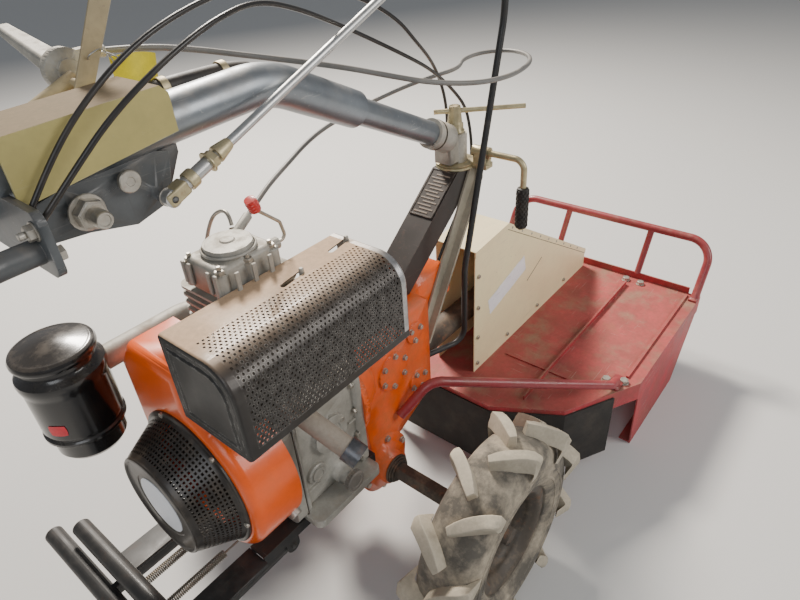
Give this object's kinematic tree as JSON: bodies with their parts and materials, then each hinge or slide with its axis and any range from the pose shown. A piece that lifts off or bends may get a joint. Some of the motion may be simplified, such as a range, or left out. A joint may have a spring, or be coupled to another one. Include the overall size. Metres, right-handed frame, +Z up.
{
  "type": "walk-behind power tiller with front mower deck",
  "caption": "Two-wheeled walk-behind power tiller: air-cooled diesel at the rear, gearbox on lugged wheels, turned handlebar, red mower deck with tube guard in front.",
  "frame": {"origin": "on the floor below the middle of the wheel axle", "axes": "+X forward from the engine to the mower deck, +Y to the machine's left, +Z up"},
  "size_m": [1.977, 0.766, 1.0816],
  "materials": {
    "orange_paint": "glossy",
    "black_paint": "glossy",
    "red_paint": "worn",
    "guard_paint": "glossy",
    "cream_paint": "satin",
    "khaki_paint": "satin",
    "grey_paint": "satin",
    "tube_silver": "satin",
    "cast_aluminium": "rough",
    "gear_case_orange": "glossy paint",
    "zinc": "satin",
    "dark_steel": "rough",
    "exhaust_steel": "heat stained",
    "black_plastic": "glossy",
    "rubber_black": "matte",
    "cable_grey": "satin",
    "tyre_rubber": "dusty",
    "rim_paint": "worn"
  },
  "bodies": {
    "chassis": {"engine_block": "cast_aluminium", "cylinder": "cast_aluminium", "rocker_cover": "cast_aluminium", "blower_housing": "orange_paint", "recoil_starter": "black_plastic", "muffler": "exhaust_steel", "muffler_cover": "black_paint", "exhaust_pipe": "exhaust_steel", "air_filter": "black_plastic", "intake_elbow": "cast_aluminium", "base_frame": "black_paint", "bumper": "black_paint", "gearbox": "gear_case_orange", "column": "black_paint", "column_struts": "khaki_paint", "clamp_head": "zinc", "clamp_t_bolt": "zinc", "clamp_lever": "zinc", "clamp_lever_grip": "rubber_black", "gear_rod": "black_paint", "mower_deck": "red_paint", "deck_guard": "guard_paint", "rubber_skirt": "rubber_black", "drive_cover": "cream_paint", "drive_case": "dark_steel", "brace_left": "guard_paint", "brace_right": "guard_paint", "flywheel": "dark_steel", "decompression_lever": "zinc", "throttle_cable_lower": "cable_grey", "clutch_cable_right_lower": "rubber_black", "clutch_cable_left_lower": "rubber_black"},
    "wheel_left": {"axle_left": "dark_steel", "rim_left": "rim_paint", "tyre_left": "tyre_rubber"},
    "wheel_right": {"axle_right": "dark_steel", "rim_right": "rim_paint", "tyre_right": "tyre_rubber"},
    "rotor": {"mower_rotor": "dark_steel"},
    "stand": {"stand": "black_paint"},
    "handlebar": {"handle_socket": "tube_silver", "handle_tube_front": "tube_silver", "handle_tube_rear": "tube_silver", "lever_box": "khaki_paint", "handle_bracket": "grey_paint", "handle_arm_left": "grey_paint", "handle_arm_right": "grey_paint", "grip_left": "rubber_black", "grip_right": "rubber_black", "silver_rod": "tube_silver", "hand_lever": "khaki_paint", "lever_bracket": "cast_aluminium", "link_tube": "cream_paint", "throttle_cable_upper": "cable_grey", "clutch_cable_right_upper": "rubber_black", "clutch_cable_left_upper": "rubber_black"}
  },
  "joints": [
    {"name": "wheel_left_spin", "type": "hinge", "parent": "chassis", "child": "wheel_left", "pos_m": [0, 0, 0.205], "axis": [0, 1, 0], "continuous": true},
    {"name": "wheel_right_spin", "type": "hinge", "parent": "chassis", "child": "wheel_right", "pos_m": [0, 0, 0.205], "axis": [0, 1, 0], "continuous": true},
    {"name": "rotor_spin", "type": "hinge", "parent": "chassis", "child": "rotor", "pos_m": [0.615, 0, 0.1], "axis": [0, 0, 1], "continuous": true},
    {"name": "stand_fold", "type": "hinge", "parent": "chassis", "child": "stand", "pos_m": [-0.256, 0, 0.256], "axis": [0, -1, 0], "range_deg": [0, 88]},
    {"name": "handlebar_swivel", "type": "hinge", "parent": "chassis", "child": "handlebar", "pos_m": [0.345, 0, 0.726], "axis": [0, 0, 1], "range_deg": [-30, 30]}
  ]
}
